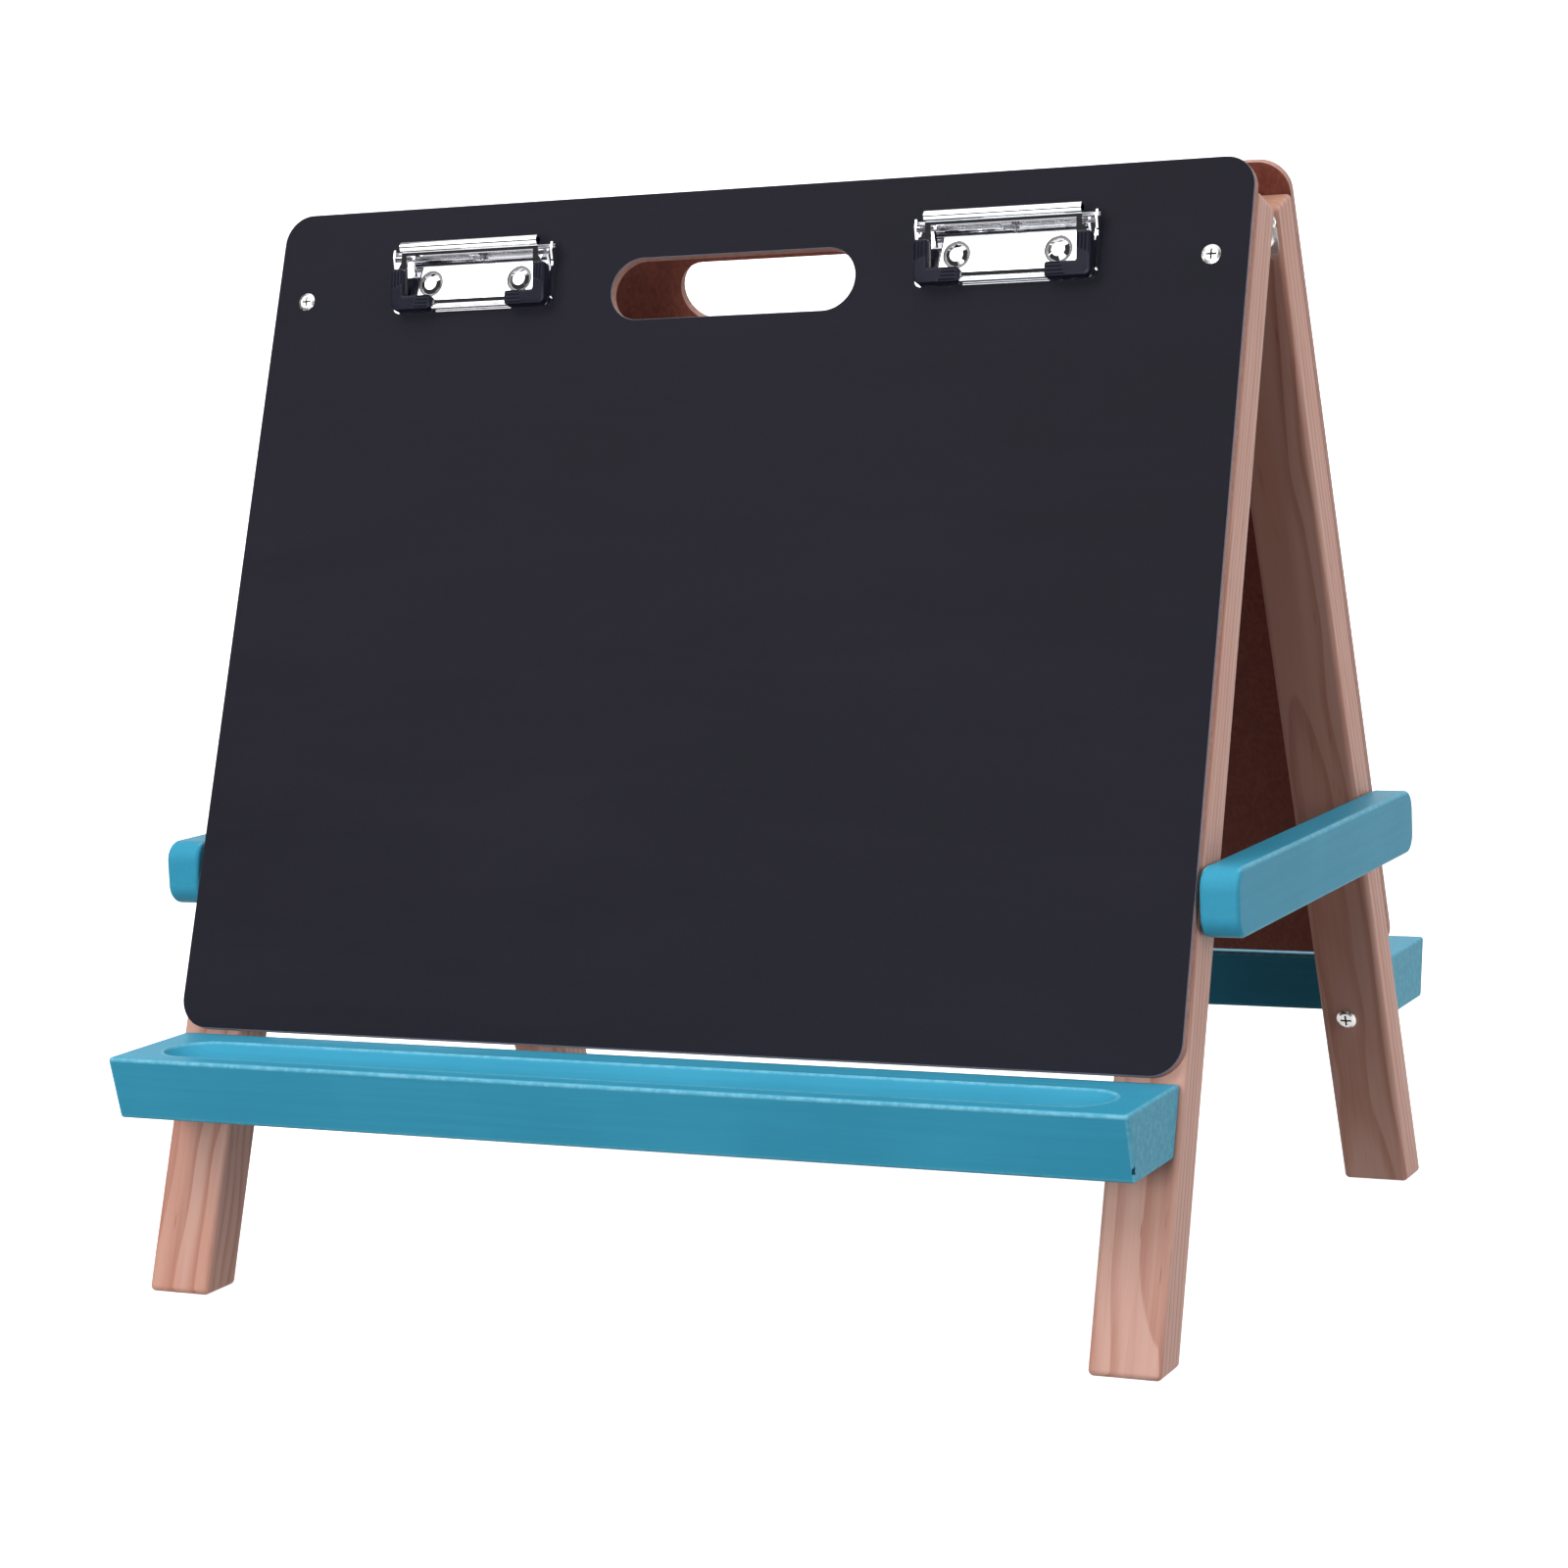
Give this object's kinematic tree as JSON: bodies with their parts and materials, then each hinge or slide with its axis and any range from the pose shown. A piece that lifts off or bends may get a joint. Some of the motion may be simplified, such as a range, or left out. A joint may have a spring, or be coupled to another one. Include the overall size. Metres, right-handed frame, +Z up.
{
  "type": "folding tabletop easel for children",
  "caption": "Double-sided folding tabletop easel: a chalkboard and a whiteboard hinged at the top, each with paper clips and a pencil tray, held open by hook-over side bars.",
  "frame": {"origin": "on the floor under the middle of the open easel", "axes": "+X to the right along the boards' width as seen from the chalkboard side, +Y from the chalkboard side to the whiteboard side, +Z up"},
  "size_m": [0.4844, 0.3896, 0.4505],
  "materials": {
    "chalkboard": "matt blackboard lacquer on thin fibreboard",
    "whiteboard": "glossy dry-wipe face on thin fibreboard",
    "pine": "planed pine, clear satin",
    "teal_paint": "wood painted teal, satin",
    "zinc_steel": "bright zinc plate",
    "chrome_plate": "polished nickel-chrome plate",
    "spring_steel": "drawn wire",
    "black_plastic": "moulded, ribbed",
    "brass": "machined"
  },
  "bodies": {
    "front_frame": {"front_left_clip_base": "chrome_plate", "front_left_clip_rivets": "chrome_plate", "front_left_clip_pin": "spring_steel", "front_left_clip_spring": "spring_steel", "front_right_clip_base": "chrome_plate", "front_right_clip_rivets": "chrome_plate", "front_right_clip_pin": "spring_steel", "front_right_clip_spring": "spring_steel", "front_board": "chalkboard", "front_board_screws": "zinc_steel", "front_tray": "teal_paint", "front_tray_screws": "zinc_steel", "front_hinge_screws": "zinc_steel", "front_left_leg": "pine", "front_right_leg": "pine", "left_hinge_front_leaf": "zinc_steel", "right_hinge_front_leaf": "zinc_steel", "left_hinge_pin": "zinc_steel", "right_hinge_pin": "zinc_steel"},
    "rear_frame": {"rear_left_clip_base": "chrome_plate", "rear_left_clip_rivets": "chrome_plate", "rear_left_clip_pin": "spring_steel", "rear_left_clip_spring": "spring_steel", "rear_right_clip_base": "chrome_plate", "rear_right_clip_rivets": "chrome_plate", "rear_right_clip_pin": "spring_steel", "rear_right_clip_spring": "spring_steel", "rear_board": "whiteboard", "rear_board_screws": "zinc_steel", "rear_tray": "teal_paint", "rear_tray_screws": "zinc_steel", "rear_hinge_screws": "zinc_steel", "rear_left_leg": "pine", "rear_right_leg": "pine", "left_hinge_rear_leaf": "zinc_steel", "right_hinge_rear_leaf": "zinc_steel", "left_bar_catch_pin": "zinc_steel", "right_bar_catch_pin": "zinc_steel"},
    "left_bar": {"left_side_bar": "teal_paint", "left_bar_bolt": "zinc_steel", "left_bar_insert": "brass", "left_bar_washers": "zinc_steel"},
    "right_bar": {"right_side_bar": "teal_paint", "right_bar_bolt": "zinc_steel", "right_bar_insert": "brass", "right_bar_washers": "zinc_steel"},
    "front_left_clip_grip": {"front_left_clip_jaw": "chrome_plate", "front_left_clip_left_guard": "black_plastic", "front_left_clip_right_guard": "black_plastic"},
    "front_right_clip_grip": {"front_right_clip_jaw": "chrome_plate", "front_right_clip_left_guard": "black_plastic", "front_right_clip_right_guard": "black_plastic"},
    "rear_left_clip_grip": {"rear_left_clip_jaw": "chrome_plate", "rear_left_clip_left_guard": "black_plastic", "rear_left_clip_right_guard": "black_plastic"},
    "rear_right_clip_grip": {"rear_right_clip_jaw": "chrome_plate", "rear_right_clip_left_guard": "black_plastic", "rear_right_clip_right_guard": "black_plastic"}
  },
  "joints": [
    {"name": "frame_fold", "type": "hinge", "parent": "front_frame", "child": "rear_frame", "pos_m": [0, 0, 0.4244], "axis": [-1, 0, 0], "range_deg": [0, 39]},
    {"name": "left_bar_swing", "type": "hinge", "parent": "front_frame", "child": "left_bar", "pos_m": [-0.24, -0.10414, 0.1694], "axis": [1, 0, 0], "range_deg": [0, 70.5]},
    {"name": "right_bar_swing", "type": "hinge", "parent": "front_frame", "child": "right_bar", "pos_m": [0.24, -0.10414, 0.1694], "axis": [1, 0, 0], "range_deg": [0, 70.5]},
    {"name": "front_left_clip_press", "type": "hinge", "parent": "front_frame", "child": "front_left_clip_grip", "pos_m": [-0.1236, -0.03205, 0.43066], "axis": [-1, 0, 0], "range_deg": [0, 35], "stiffness_Nm_per_rad": 0.3, "springref_deg": -34.38},
    {"name": "front_right_clip_press", "type": "hinge", "parent": "front_frame", "child": "front_right_clip_grip", "pos_m": [0.1236, -0.03205, 0.43066], "axis": [-1, 0, 0], "range_deg": [0, 35], "stiffness_Nm_per_rad": 0.3, "springref_deg": -34.38},
    {"name": "rear_left_clip_press", "type": "hinge", "parent": "rear_frame", "child": "rear_left_clip_grip", "pos_m": [-0.1236, 0.03205, 0.43066], "axis": [1, 0, 0], "range_deg": [0, 35], "stiffness_Nm_per_rad": 0.3, "springref_deg": -34.38},
    {"name": "rear_right_clip_press", "type": "hinge", "parent": "rear_frame", "child": "rear_right_clip_grip", "pos_m": [0.1236, 0.03205, 0.43066], "axis": [1, 0, 0], "range_deg": [0, 35], "stiffness_Nm_per_rad": 0.3, "springref_deg": -34.38}
  ]
}
